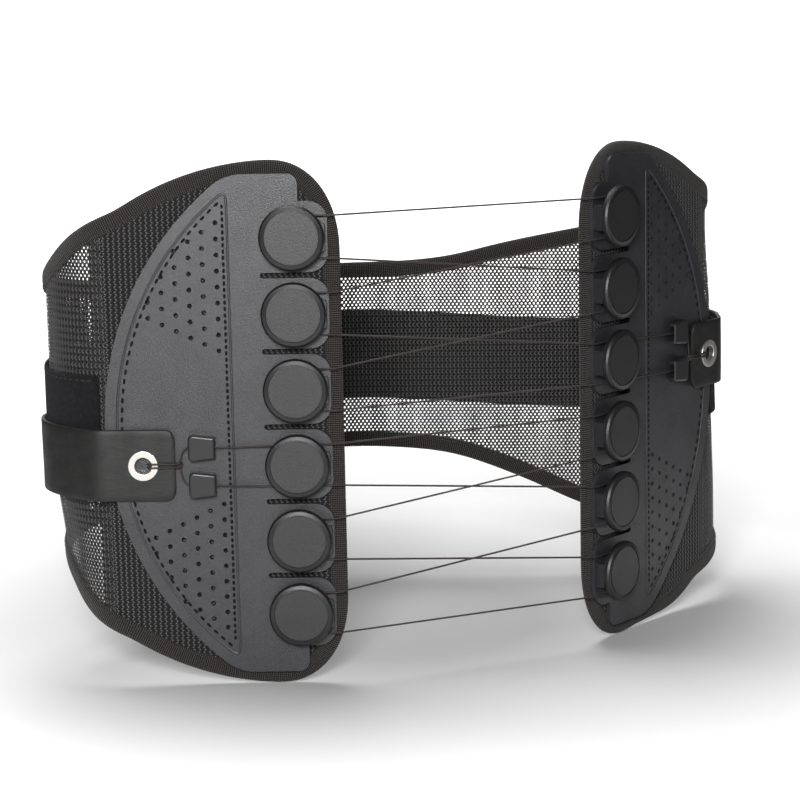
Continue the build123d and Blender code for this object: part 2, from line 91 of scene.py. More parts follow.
def plan(q, lift):
    """Plan point of the right half at run q along the belt, lift mm outside its middle."""
    s = q - FLAT
    if s <= 0:
        p = at(1, q, 0, MIDDLE + lift) * 1000
        return p.x, p.y
    if s < ARC1:
        a = TURN + s / R_SIDE
        return SIDE_C[0] + (R_SIDE + lift) * sin(a), SIDE_C[1] - (R_SIDE + lift) * cos(a)
    if s < ARC1 + STRAIGHT:
        d = s - ARC1
        return (
            SIDE_C[0] + (R_SIDE + lift) * sin(EXIT) + d * cos(EXIT),
            SIDE_C[1] - (R_SIDE + lift) * cos(EXIT) + d * sin(EXIT),
        )
    a = EXIT + (s - ARC1 - STRAIGHT) / R_FRONT
    return FRONT_C[0] + (R_FRONT + lift) * sin(a), FRONT_C[1] - (R_FRONT + lift) * cos(a)


def eased(value, start, stop):
    """0 to 1, slow at both ends, as value goes from start to stop."""
    t = min(1.0, max(0.0, (value - start) / (stop - start)))
    return t * t * (3 - 2 * t)


def lean(side, q, z):
    """How far the soft belt leans out of its plan at this run and height."""
    share = eased(q, 80, 126) * eased(q, 260, 170)
    if side < 0:
        return -5.5 * eased(z, -12, -74) * share
    return (-3.0 + 4.6 * eased(z, 78, 26) + 3.2 * eased(z, 15, -85)) * share


def skin(side, q, z, lift):
    """Textile coordinates to metres: q along the belt, z up, lift out of its middle."""
    x, y = plan(q, lift + lean(side, q, z))
    return Vector((side * x, y, MID + z)) * 0.001


def spline(points):
    """Natural cubic through points of rising first coordinate."""
    n = len(points)
    x, y = [p[0] for p in points], [p[1] for p in points]
    h = [x[i + 1] - x[i] for i in range(n - 1)]
    m, diag, rhs = [0.0] * n, [1.0] * n, [0.0] * n
    for i in range(1, n - 1):
        w = h[i - 1] / diag[i - 1] if i > 1 else 0.0
        diag[i] = 2 * (h[i - 1] + h[i]) - w * h[i - 1]
        rhs[i] = 6 * ((y[i + 1] - y[i]) / h[i] - (y[i] - y[i - 1]) / h[i - 1]) - w * rhs[i - 1]
    for i in range(n - 2, 0, -1):
        m[i] = (rhs[i] - h[i] * m[i + 1]) / diag[i]

    def value(t):
        i = max(k for k in range(n - 1) if x[k] <= t or k == 0)
        a, b = (x[i + 1] - t) / h[i], (t - x[i]) / h[i]
        return a * y[i] + b * y[i + 1] + ((a**3 - a) * m[i] + (b**3 - b) * m[i + 1]) * h[i] ** 2 / 6

    return value


belt_start = bend.y - LINE_Y

# (how far past the bend in y, how far from the middle) along each side's upper (1) and lower (-1) edge
EDGES = {
    (1, 1): [(-6, 106.75), (20, 91.5), (52, 80.0), (84, 71.0), (96, 66.5), (108, 61.5), (121, 55.5),
             (132, 53.0), (170, 53.0)],
    (1, -1): [(-6, 106.75), (20, 96.0), (52, 92.0), (84, 86.5), (96, 75.5), (108, 65.0), (121, 56.5),
              (132, 53.5), (170, 53.0)],
    (-1, 1): [(-6, 106.75), (8, 97.5), (20, 88.5), (30, 80.5), (43, 73.0), (66, 64.5), (80, 60.5),
              (110, 55.0), (170, 53.0)],
}
EDGES[(-1, -1)] = EDGES[(-1, 1)]
HEIGHTS = {key: spline([(belt_start + y, z) for y, z in edge]) for key, edge in EDGES.items()}


def hermite(p, q, dp, dq, t):
    """Point of the cubic from p to q that leaves along dp and arrives along dq."""
    a, b, c, d = 2 * t**3 - 3 * t**2 + 1, t**3 - 2 * t**2 + t, -2 * t**3 + 3 * t**2, t**3 - t**2
    return tuple(a * p[i] + b * dp[i] + c * q[i] + d * dq[i] for i in (0, 1))


def resample(path, step):
    """Even points about step apart along a 2D or 3D polyline."""
    runs, total = [0.0], 0.0
    for p, q in zip(path, path[1:]):
        total += (Vector(q) - Vector(p)).length
        runs.append(total)
    n = max(2, round(total / step))
    out, k = [], 0
    for i in range(n + 1):
        d = total * i / n
        while k < len(path) - 2 and runs[k + 1] < d:
            k += 1
        f = (d - runs[k]) / max(runs[k + 1] - runs[k], 1e-9)
        out.append(tuple(Vector(path[k]).lerp(Vector(path[k + 1]), f)))
    return out


def relaxed(path, rounds, closed=False):
    """The path with its corners rounded, each point drawn towards its neighbours."""
    for _ in range(rounds):
        moved = [
            tuple(0.25 * a[k] + 0.5 * b[k] + 0.25 * c[k] for k in (0, 1))
            for a, b, c in zip(path[-1:] + path[:-1], path, path[1:] + path[:1])
        ]
        path = moved if closed else [path[0]] + moved[1:-1] + [path[-1]]
    return path


CROWN, KNEE, LOW = (8, 126), (-13.3, 114), (BACK_EDGE, 85)    # the back's corner at the spine
CROWN_R = 135                                                 # arc of the back's top edge
FRONT_GAP = 0.5                                               # half the opening at the closure


def half_outline(side, way):
    """Upper (way 1) or lower edge of a half, from the front to the spine's middle, as heights above 0."""
    height = HEIGHTS[(side, way)]
    path = []
    q = END - FRONT_GAP
    while q > FLAT:
        path.append((q, height(plan(q, 0)[1] - LINE_Y)))
        q -= 2.0
    q = FLAT
    while q > CROWN[0]:
        path.append((q, CROWN[1] - CROWN_R + sqrt(CROWN_R**2 - (q - CROWN[0]) ** 2)))
        q -= 2.0
    slope = (Vector(CROWN) - Vector(LOW)).normalized()
    over = hypot(CROWN[0] - KNEE[0], CROWN[1] - KNEE[1])
    down = hypot(KNEE[0] - LOW[0], KNEE[1] - LOW[1])
    path += [hermite(CROWN, KNEE, (-over, 0), tuple(-slope * over), i / 9) for i in range(9)]
    path += [hermite(KNEE, LOW, tuple(-slope * down), (0, -down), i / 12) for i in range(13)]
    path.append((BACK_EDGE, 0))
    if side > 0 > way:
        path = [(q, z + 6.5 * eased(q, 25, 70) * eased(q, 195, 130)) for q, z in path]
    return resample(relaxed(resample(path, 2.5), 6), 2.5)


UPPER = {side: half_outline(side, 1) for side in (-1, 1)}
LOWER = {side: half_outline(side, -1) for side in (-1, 1)}
OUTLINE = {side: UPPER[side] + [(q, -z) for q, z in reversed(LOWER[side][:-1])] for side in (-1, 1)}


def inward(path):
    """Unit normals to the left of a polyline, pointing into the textile."""
    out = []
    for i in range(len(path)):
        a, b = path[max(0, i - 1)], path[min(len(path) - 1, i + 1)]
        d = Vector((b[0] - a[0], b[1] - a[1])).normalized()
        out.append((-d.y, d.x))
    return out


INWARD = {side: inward(OUTLINE[side]) for side in (-1, 1)}


def trimmed(side, b):
    """The textile's edge moved inward by b."""
    return [(p[0] + b * n[0], p[1] + b * n[1]) for p, n in zip(OUTLINE[side], INWARD[side])]


def reach(side, trim, q_list):
    """(q, lowest z, highest z) of the textile at each run, trimmed at both edges."""
    edge = trimmed(side, trim)
    upper, lower = edge[: len(UPPER[side])], list(reversed(edge[len(UPPER[side]) - 1:]))

    def read(path, q):
        for a, b in zip(path, path[1:]):
            if b[0] <= q <= a[0] and a[0] > b[0]:
                f = (a[0] - q) / (a[0] - b[0])
                return a[1] + (b[1] - a[1]) * f
        return path[0][1] if q > path[0][0] else path[-1][1]

    return [(q, read(lower, q), read(upper, q)) for q in q_list]


# ------------------------------------------------------------------ mesh helpers
def placed(name, data):
    """A new object of this data, in the scene."""
    obj = bpy.data.objects.new(name, data)
    bpy.context.scene.collection.objects.link(obj)
    return obj


class Build:
    """Collects vertices in metres, faces and UVs, and makes one object of them."""

    def __init__(self, name):
        self.name, self.v, self.f, self.uv = name, [], [], []

    def vert(self, p):
        self.v.append(tuple(p))
        return len(self.v) - 1

    def face(self, ids, uvs=None):
        self.f.append(tuple(ids))
        self.uv.append(uvs or [(0.0, 0.0)] * len(ids))

    def loft(self, rings, uvs, closed=True, caps=True):
        """Rings of equal length joined in order; each ring is closed on itself if closed."""
        base = len(self.v)
        n = len(rings[0])
        for ring in rings:
            for p in ring:
                self.v.append(tuple(p))
        last = n if closed else n - 1
        for i in range(len(rings) - 1):
            for j in range(last):
                k = (j + 1) % n
                ids = (base + i * n + j, base + i * n + k, base + (i + 1) * n + k, base + (i + 1) * n + j)
                self.face(ids, [uvs[i][j], uvs[i][j + 1], uvs[i + 1][j + 1], uvs[i + 1][j]])
        if caps and closed:
            for i in (0, len(rings) - 1):
                centre = Vector((0, 0, 0))
                for p in rings[i]:
                    centre += Vector(p)
                c = self.vert(centre / n)
                for j in range(n):
                    a, b = base + i * n + j, base + i * n + (j + 1) % n
                    self.face((c, b, a), [uvs[i][0], uvs[i][j + 1], uvs[i][j]])

    def make(self, material, fix_normals=True, sharp=None):
        """The object, smooth but for edges over sharp degrees; fix_normals turns its faces outward."""
        mesh = bpy.data.meshes.new(self.name)
        mesh.from_pydata(self.v, [], self.f)
        layer = mesh.uv_layers.new(name="UVMap")
        flat = [c for face in self.uv for uv in face for c in uv]
        layer.data.foreach_set("uv", flat)
        if fix_normals:
            bm = bmesh.new()
            bm.from_mesh(mesh)
            bmesh.ops.recalc_face_normals(bm, faces=bm.faces[:])
            bm.to_mesh(mesh)
            bm.free()
        mesh.polygons.foreach_set("use_smooth", [True] * len(mesh.polygons))
        if sharp:
            mesh.set_sharp_from_angle(angle=radians(sharp))
        mesh.materials.append(material)
        mesh.update()
        return placed(self.name, mesh)


def rounded_section(half, thick, r, across):
    """Closed section in (b, n): a slab 2*half wide and thick high with rounded edges."""
    t = thick / 2
    top = [(-half + r + (2 * half - 2 * r) * i / across, t) for i in range(across + 1)]
    turns = [pi / 2 - pi * i / 6 for i in range(1, 6)]
    edge = [(half - r + r * cos(a), t * sin(a)) for a in turns]
    bottom = [(b, -t) for b, _ in reversed(top)]
    back = [(-b, -n) for b, n in edge]
    return top + edge + bottom + back


def lengths(section):
    """Running length round a closed section, one more than its points."""
    out, total = [0.0], 0.0
    for a, b in zip(section, section[1:] + section[:1]):
        total += hypot(b[0] - a[0], b[1] - a[1])
        out.append(total)
    return out


def tube(build, points, radius):
    """Round tube along points in metres, radius in metres."""
    sides = 8
    turns = [2 * pi * j / sides for j in range(sides)]
    pts = [Vector(p) for p in points]
    normal = (pts[1] - pts[0]).normalized().orthogonal().normalized()
    rings, uvs, run = [], [], 0.0
    for i, p in enumerate(pts):
        a, b = pts[max(0, i - 1)], pts[min(len(pts) - 1, i + 1)]
        t = (b - a).normalized()
        normal = (normal - t * normal.dot(t)).normalized()
        side = t.cross(normal)
        if i:
            run += (p - pts[i - 1]).length
        rings.append([p + (normal * cos(turn) + side * sin(turn)) * radius for turn in turns])
        uvs.append([(run, 2 * pi * radius * j / sides) for j in range(sides + 1)])
    build.loft(rings, uvs)


# (place, width) of the rings of one stitch, as shares of its length and its width
STITCH = [(-0.5, 0.25), (-0.4, 0.75), (-0.15, 1.0), (0.15, 1.0), (0.4, 0.75), (0.5, 0.25)]


def stitches(build, path, place, pitch, size, width, height):
    """Thread dashes along a 2D path; place maps (a, b, lift) to metres."""
    total = sum((Vector(b) - Vector(a)).length for a, b in zip(path, path[1:]))
    even = resample(path, total / max(1, round(total / (pitch / 4))))
    for i in range(2, len(even) - 2, 4):
        a, b, c = Vector(even[i - 1]), Vector(even[i + 1]), Vector(even[i])
        t = (b - a).normalized()
        n = Vector((-t.y, t.x))
        rings, uvs = [], []
        for s, w in STITCH:
            ring = []
            for k in range(6):
                g = 2 * pi * k / 6
                o = c + t * (s * size) + n * (w * width / 2 * cos(g))
                ring.append(place(o.x, o.y, w * height * sin(g)))
            rings.append(ring)
            uvs.append([(s * size * 0.001, k * 0.0003) for k in range(7)])
        build.loft(rings, uvs)


# ------------------------------------------------------------------ materials
class Mat:
    """A node material round one Principled shader."""

    def __init__(self, name, color, specular=0.5, metallic=0.0, sheen=(0.0, 0.5)):
        """sheen is its weight and its roughness."""
        self.m = bpy.data.materials.new(name)
        self.m.use_nodes = True
        self.t = self.m.node_tree
        self.t.nodes.clear()
        out = self.t.nodes.new("ShaderNodeOutputMaterial")
        self.b = self.t.nodes.new("ShaderNodeBsdfPrincipled")
        self.t.links.new(self.b.outputs["BSDF"], out.inputs["Surface"])
        self.set("Base Color", (*color, 1))
        self.set("Specular IOR Level", specular)
        self.set("Metallic", metallic)
        self.set("Sheen Weight", sheen[0])
        self.set("Sheen Roughness", sheen[1])
        self.m.diffuse_color = (*color, 1)

    def put(self, socket, value):
        if isinstance(value, bpy.types.NodeSocket):
            self.t.links.new(value, socket)
        else:
            socket.default_value = value

    def set(self, name, value):
        self.put(self.b.inputs[name], value)

    def op(self, kind, *values):
        n = self.t.nodes.new("ShaderNodeMath")
        n.operation = kind
        for socket, value in zip(n.inputs, values):
            self.put(socket, value)
        return n.outputs[0]

    def weigh(self, a, x, b, y):
        """a times x plus b times y."""
        return self.op("ADD", self.op("MULTIPLY", a, x), self.op("MULTIPLY", b, y))

    def far(self, a, b):
        """Length of the plane vector (a, b)."""
        return self.op("SQRT", self.weigh(a, a, b, b))

    def place(self):
        """Object coordinates."""
        return self.t.nodes.new("ShaderNodeTexCoord").outputs["Object"]

    def uv(self):
        n = self.t.nodes.new("ShaderNodeUVMap")
        n.uv_map = "UVMap"
        return n.outputs[0]

    def split(self, vector):
        n = self.t.nodes.new("ShaderNodeSeparateXYZ")
        self.put(n.inputs[0], vector)
        return n.outputs

    def stretch(self, vector, scale):
        n = self.t.nodes.new("ShaderNodeMapping")
        self.put(n.inputs["Vector"], vector)
        n.inputs["Scale"].default_value = scale
        return n.outputs[0]

    def noise(self, vector, size_mm, detail, rough):
        n = self.t.nodes.new("ShaderNodeTexNoise")
        self.put(n.inputs["Vector"], vector)
        n.inputs["Scale"].default_value = 1000.0 / size_mm
        n.inputs["Detail"].default_value = detail
        n.inputs["Roughness"].default_value = rough
        return n.outputs["Fac"]

    def ramp(self, fac, stops):
        n = self.t.nodes.new("ShaderNodeValToRGB")
        self.put(n.inputs["Fac"], fac)
        while len(n.color_ramp.elements) < len(stops):
            n.color_ramp.elements.new(0.5)
        for element, (position, color) in zip(n.color_ramp.elements, stops):
            element.position, element.color = position, (*color, 1)
        return n.outputs["Color"]

    def span(self, value, low, high, to_low, to_high):
        n = self.t.nodes.new("ShaderNodeMapRange")
        self.put(n.inputs["Value"], value)
        for key, number in (("From Min", low), ("From Max", high), ("To Min", to_low), ("To Max", to_high)):
            n.inputs[key].default_value = number
        return n.outputs["Result"]

    def bump(self, height, distance_mm, strength):
        n = self.t.nodes.new("ShaderNodeBump")
        n.inputs["Strength"].default_value = strength
        n.inputs["Distance"].default_value = distance_mm * 0.001
        self.put(n.inputs["Height"], height)
        self.set("Normal", n.outputs[0])

    def wave(self, value, pitch_mm):
        """0 to 1 and back, once every pitch."""
        turn = self.op("MULTIPLY", value, 2 * pi * 1000 / pitch_mm)
        return self.op("MULTIPLY_ADD", self.op("SINE", turn), 0.5, 0.5)


def grain(m, c, size_mm):
    """Fine grain at coordinates c, and its mix with a wider mottle."""
    fine, wide = m.noise(c, size_mm, 3.0, 0.65), m.noise(c, 14.0, 2.0, 0.5)
    return fine, m.weigh(fine, 0.75, wide, 0.25)


def grained(name, low, high, rough, grain_mm, bump_mm, specular):
    """Moulded plastic or coated board with a fine grain."""
    m = Mat(name, low, specular)
    fine, mix = grain(m, m.place(), grain_mm)
    m.set("Base Color", m.ramp(mix, [(0.3, low), (0.7, high)]))
    m.set("Roughness", m.span(mix, 0.3, 0.7, rough + 0.07, rough - 0.07))
    m.bump(fine, bump_mm, 0.8)
    return m.m


def capped(side):
    """The pulleys' plastic: every cap has a flat middle inside a sloping rim, with shade painted darker into
    the rim's colour.
    """
    flat_radius, cap_radius = 0.0126, 0.0153
    m = Mat(f"cap_plastic_{side}", (0.012, 0.012, 0.013), 0.6)
    c = m.place()
    x, y, z = m.split(c)
    o = at(side, 0, 0, 0)
    u = (at(side, 1, 0, 0) - o).normalized()
    across = m.weigh(m.op("SUBTRACT", x, o.x), u.x, m.op("SUBTRACT", y, o.y), u.y)
    rise = None
    for height in PULLEYS:
        gap = m.op("ABSOLUTE", m.op("SUBTRACT", z, (MID + height) * 0.001))
        rise = gap if rise is None else m.op("MINIMUM", rise, gap)
    slope = m.span(m.far(across, rise), flat_radius, cap_radius, 0.0, 1.0)
    fine, mix = grain(m, c, 0.6)
    # painted shade: the sloping rim's colour is darkened, on top of its bump
    mix = m.op("SUBTRACT", mix, m.op("MULTIPLY", slope, 0.22))
    m.set("Base Color", m.ramp(mix, [(0.25, (0.003, 0.003, 0.0033)), (0.7, (0.020, 0.020, 0.022))]))
    m.set("Roughness", m.span(mix, 0.2, 0.7, 0.5, 0.36))
    m.bump(m.weigh(slope, -1.0, fine, 0.09), 1.15, 1.0)
    return m.m


def nickel():
    m = Mat("eyelet_nickel", (0.72, 0.69, 0.65), metallic=1.0)
    scuff = m.noise(m.stretch(m.place(), (1, 1, 4)), 1.1, 4.0, 0.6)
    m.set("Base Color", m.ramp(scuff, [(0.3, (0.60, 0.57, 0.53)), (0.7, (0.82, 0.80, 0.77))]))
    m.set("Roughness", m.span(scuff, 0.3, 0.7, 0.46, 0.30))
    m.bump(scuff, 0.02, 0.4)
    return m.m


def tape():
    """Ribbed binding tape: ribs across the edge, a slight twill between them; highlights are painted light
    on the crests and shade is painted dark in the grooves.
    """
    m = Mat("edge_binding", (0.02, 0.017, 0.015), 0.25, sheen=(0.12, 0.45))
    uv = m.uv()
    u, v, _ = m.split(uv)
    wobble = m.op("MULTIPLY", m.noise(uv, 3.0, 2.0, 0.6), 0.0006)
    rib = m.wave(m.op("ADD", u, wobble), 1.05)
    twill = m.op("MULTIPLY_ADD", m.wave(v, 0.85), 0.6, 0.4)
    lint = m.noise(uv, 0.5, 2.0, 0.7)
    height = m.weigh(rib, twill, lint, 0.25)
    # painted highlight and shade: colour goes from near black in the grooves to light on the crests
    m.set("Base Color", m.ramp(height, [
        (0.15, (0.002, 0.0018, 0.0017)), (0.55, (0.012, 0.0105, 0.010)), (1.0, (0.078, 0.068, 0.063)),
    ]))
    m.set("Roughness", m.span(height, 0.0, 1.0, 0.85, 0.6))
    m.bump(height, 0.35, 1.0)
    return m.m


def net():
    """See-through mesh: rows of holes, each row shifted by half a hole, with bright zig-zag lines painted on
    as highlights of its yarns.
    """
    pitch_u, pitch_v = 2.25, 3.3
    half_u, half_v = 0.275, 0.20            # half a hole, in pitches
    m = Mat("belt_mesh", (0.018, 0.016, 0.015), 0.3, sheen=(0.1, 0.5))
    uv = m.uv()
    u, v, _ = m.split(uv)
    x, y = m.op("MULTIPLY", u, 1000 / pitch_u), m.op("MULTIPLY", v, 1000 / pitch_v)
    uneven = m.noise(m.stretch(uv, (1.0, 0.12, 1.0)), 7.0, 2.0, 0.6)
    grow = m.span(uneven, 0.3, 0.7, 0.82, 1.06)

    def centred(value, shift, half):
        return m.op("DIVIDE", m.op("SUBTRACT", m.op("FRACT", m.op("ADD", value, shift)), 0.5), half)

    rows = [m.far(centred(x, shift, half_u), centred(y, shift, half_v)) for shift in (0.0, 0.5)]
    d = m.op("DIVIDE", m.op("MINIMUM", *rows), grow)
    m.set("Alpha", m.span(d, 0.94, 1.06, 0.0, 1.0))
    lint = m.noise(uv, 0.4, 2.0, 0.7)
    # painted highlights: light zig-zag lines in the colour only, the bump does not follow them
    zig = m.op("MULTIPLY", m.op("PINGPONG", m.op("MULTIPLY", y, 2.0), 0.5), 0.6)
    ridge = m.op("POWER", m.op("MULTIPLY", m.op("PINGPONG", m.op("ADD", x, zig), 0.5), 2.0), 3.0)
    m.set("Base Color", m.ramp(m.weigh(lint, 0.5, ridge, 0.5), [
        (0.2, (0.004, 0.0037, 0.0035)), (0.45, (0.020, 0.0185, 0.018)), (0.8, (0.110, 0.105, 0.108)),
    ]))
    m.set("Roughness", m.span(lint, 0.3, 0.7, 0.75, 0.55))
    m.bump(m.op("ADD", m.op("MINIMUM", d, 1.6), m.op("MULTIPLY", lint, 0.3)), 0.3, 0.8)
    return m.m


def spacer():
    """Closed zig-zag spacer fabric of the lining, with highlights painted light on its yarns' crests and
    shade painted dark between them.
    """
    m = Mat("lining_mesh", (0.02, 0.019, 0.019), 0.3, sheen=(0.08, 0.5))
    uv = m.uv()
    u, v, _ = m.split(uv)
    zig = m.op("PINGPONG", m.op("MULTIPLY", v, 1000 / 2.4), 0.5)
    x = m.weigh(u, 1000 / 2.6, zig, 0.75)
    yarn = m.op("POWER", m.op("MULTIPLY", m.op("PINGPONG", x, 0.5), 2.0), 1.6)
    beat = m.op("MULTIPLY_ADD", m.wave(v, 1.2), 0.45, 0.55)
    lint = m.noise(uv, 0.45, 2.0, 0.7)
    height = m.weigh(yarn, beat, lint, 0.2)
    # painted highlight and shade: colour runs from near black in the valleys to light on the yarns' crests
    m.set("Base Color", m.ramp(height, [
        (0.25, (0.001, 0.001, 0.001)), (0.6, (0.009, 0.0087, 0.0087)), (1.0, (0.150, 0.143, 0.143)),
    ]))
    m.set("Roughness", m.span(height, 0.0, 1.0, 0.85, 0.5))
    m.bump(height, 0.5, 1.0)
    return m.m


def fleece():
    """Loop fabric: short dark pile."""
    m = Mat("loop_band", (0.014, 0.014, 0.016), 0.08, sheen=(0.06, 0.6))
    m.set("Sheen Tint", (0.55, 0.56, 0.62, 1))
    uv = m.uv()
    pile = m.noise(uv, 0.55, 4.0, 0.75)
    tufts = m.noise(uv, 2.4, 3.0, 0.6)
    height = m.weigh(pile, 0.7, tufts, 0.5)
    m.set("Base Color", m.ramp(height, [
        (0.42, (0.004, 0.004, 0.0043)), (0.62, (0.007, 0.007, 0.0076)), (0.8, (0.021, 0.021, 0.023)),
    ]))
    m.set("Roughness", m.span(pile, 0.3, 0.7, 0.95, 0.8))
    m.bump(height, 0.7, 1.0)
    return m.m


def rubber():
    """Coated strap: smooth with faint creases and dust."""
    low, high = (0.003, 0.0029, 0.0028), (0.013, 0.0122, 0.0115)
    m = Mat("tab_rubber", low, 0.45)
    uv = m.uv()
    cloud = m.noise(uv, 9.0, 4.0, 0.6)
    fine = m.noise(uv, 0.7, 3.0, 0.6)
    crease = m.noise(m.stretch(uv, (0.35, 1.3, 1.0)), 5.0, 3.0, 0.55)
    m.set("Base Color", m.ramp(m.weigh(cloud, 0.7, fine, 0.3), [(0.32, low), (0.68, high)]))
    m.set("Roughness", m.span(m.op("ADD", cloud, fine), 0.7, 1.3, 0.66, 0.48))
    m.bump(m.weigh(crease, 1.0, fine, 0.12), 0.35, 0.6)
    return m.m


def thread(name, low, high, pitch, specular=0.4):
    """Laid or twisted thread, its lay at a slant across it; highlights are painted lighter on the lay's
    crests and shade darker between them.
    """
    m = Mat(name, low, specular)
    u, v, _ = m.split(m.uv())
    lay = m.wave(m.op("ADD", u, m.op("MULTIPLY", v, 0.8)), pitch)
    # painted highlight and shade: the colour is lighter on the lay's crests, darker in its grooves
    m.set("Base Color", m.ramp(lay, [(0.1, low), (0.9, high)]))
    m.set("Roughness", m.span(lay, 0.0, 1.0, 0.65, 0.42))
    m.bump(lay, 0.08, 0.9)
    return m.m


def nylon():
    """The closure flap's outer weave."""
    m = Mat("flap_hook", (0.02, 0.02, 0.021), 0.35, sheen=(0.15, 0.5))
    uv = m.uv()
    u, v, _ = m.split(uv)
    weave = m.op("MULTIPLY", m.wave(u, 1.1), m.wave(v, 1.1))
    height = m.weigh(weave, 0.8, m.noise(uv, 0.6, 3.0, 0.7), 0.35)
    m.set("Base Color", m.ramp(height, [(0.15, (0.010, 0.010, 0.011)), (0.9, (0.036, 0.036, 0.039))]))
    m.set("Roughness", m.span(height, 0.0, 1.0, 0.8, 0.55))
    m.bump(height, 0.3, 0.9)
    return m.m


# dark and light colours, roughness, grain and bump in mm, specular
PLASTICS = {
    "panel_plastic": ((0.0015, 0.0015, 0.0018), (0.040, 0.040, 0.045), 0.38, 0.62, 0.2, 0.62),
    "pulley_plastic": ((0.006, 0.006, 0.0066), (0.018, 0.018, 0.020), 0.40, 0.8, 0.14, 0.6),
    "sheave_plastic": ((0.008, 0.008, 0.009), (0.016, 0.016, 0.018), 0.40, 0.6, 0.04, 0.4),
    "bell_plastic": ((0.008, 0.008, 0.0087), (0.020, 0.020, 0.022), 0.36, 0.9, 0.06, 0.5),
}
panel_plastic, pulley_plastic, sheave_plastic, bell_plastic = (
    grained(name, *look) for name, look in PLASTICS.items()
)
cap_plastic = {side: capped(side) for side in (-1, 1)}
eyelet_nickel, tab_rubber, flap_hook = nickel(), rubber(), nylon()
edge_binding, belt_mesh, lining_mesh, loop_band = tape(), net(), spacer(), fleece()
cord_thread = thread("cord", (0.008, 0.0055, 0.005), (0.042, 0.030, 0.027), 0.6)
seam_thread = thread("seam_thread", (0.0015, 0.0015, 0.0015), (0.005, 0.005, 0.005), 0.5, 0.12)
tape_thread = thread("tape_thread", (0.010, 0.009, 0.008), (0.040, 0.036, 0.033), 0.5)


# ------------------------------------------------------------------ camera
EYE = (-0.505846, -1.133885, 0.335764)
YAW, PITCH, ROLL = radians(24.467), radians(10), radians(-1.1585)


def camera():
    ahead = Vector((sin(YAW) * cos(PITCH), cos(YAW) * cos(PITCH), -sin(PITCH)))
    level = Vector((cos(YAW), -sin(YAW), 0))
    upright = level.cross(ahead)
    right, up = level * cos(ROLL) + upright * sin(ROLL), upright * cos(ROLL) - level * sin(ROLL)
    data = bpy.data.cameras.new("camera")
    data.sensor_width, data.lens, data.clip_end = 36.0, 108.86, 50.0
    obj = placed("camera", data)
    rotation = Matrix((right, up, -ahead)).transposed().to_4x4()
    obj.matrix_world = Matrix.Translation(EYE) @ rotation
    bpy.context.scene.camera = obj


camera()

# ------------------------------------------------------------------ lacing
CORD_END = 0.3      # a cord's ends, beside its pulley's axle
CROSSING = 0.6      # rising and falling cords leave this far either side of their level
def nurbs(name, points):
    """Centre line of a cord, read from one smooth NURBS spline on its route's points."""
    curve = bpy.data.curves.new(name, "CURVE")
    curve.dimensions = "3D"
    line = curve.splines.new("NURBS")
    line.points.add(len(points) - 1)
    for point, co in zip(line.points, points):
        point.co = (*co, 1)
    line.order_u, line.use_endpoint_u, line.resolution_u = 3, True, 10
    obj = placed(name, curve)
    mesh = bpy.data.meshes.new_from_object(obj)
    out = [v.co.copy() for v in mesh.vertices]
    bpy.data.objects.remove(obj)
    bpy.data.meshes.remove(mesh)
    return out


def run_length(points):
    return sum((b - a).length for a, b in zip(points, points[1:]))


def lacing_route(stops):
    """Route of one cord; stops are (side, pulley number, way), in pairs joined across the gap."""
    points = []
    for index in range(0, len(stops), 2):
        (side_a, number_a, way_a), (side_b, number_b, way_b) = stops[index:index + 2]
        z_a, z_b = PULLEYS[number_a - 1] + way_a * WRAP, PULLEYS[number_b - 1] + way_b * WRAP
        slope = (z_b > z_a) - (z_b < z_a)
        shift = CROSSING * slope * (1 if side_b > side_a else -1)
        edge_a, edge_b = at(side_a, CORD_EXIT, z_a, CORD + shift), at(side_b, CORD_EXIT, z_b, CORD + shift)
        straight = (edge_b - edge_a).normalized() * (CORD_TURN * 0.001)
        first = CORD_END if index == 0 else WRAP
        last = CORD_END if index == len(stops) - 2 else WRAP
        points += [
            at(side_a, first, z_a, CORD), at(side_a, CORD_EXIT + CORD_TURN, z_a, CORD + shift * 0.7),
            edge_a, edge_a + straight, edge_b - straight, edge_b,
            at(side_b, CORD_EXIT + CORD_TURN, z_b, CORD + shift * 0.7), at(side_b, last, z_b, CORD),
        ]
    return points


def cord_piece(name, points, start, end, replaced):
    """A cord tube along the points, in place of the CAD node it replaces; start and end are not used."""
    path = nurbs(name + "_line", points)
    build = Build(name)
    tube(build, path, CORD_R * 0.001)
    cord = build.make(cord_thread)
    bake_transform(cord)
    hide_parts(replaced)
    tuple(path[0])
    run_length(path)


# the stops of each cord: its side, its pulley from the top, and that pulley's top (+) or bottom (-)
ROUTES = {
    "upper_lacing": "R3+ L2- L2+ R1- R1+ L1+ L1- R2+ R2- L3+ L3- R3-",
    "lower_lacing": "L4+ R4+ R4- L5+ L5- R6+ R6- L6- L6+ R5- R5+ L4-",
}
SIGN = {"L": -1, "R": 1, "-": -1, "+": 1}
for name, stops in ROUTES.items():
    stops = [(SIGN[side], int(number), SIGN[way]) for side, number, way in stops.split()]
    cord_piece(f"{name}_cord", lacing_route(stops),
               at(-1, CORD_EXIT, 0, CORD), at(1, CORD_EXIT, 0, CORD), name)

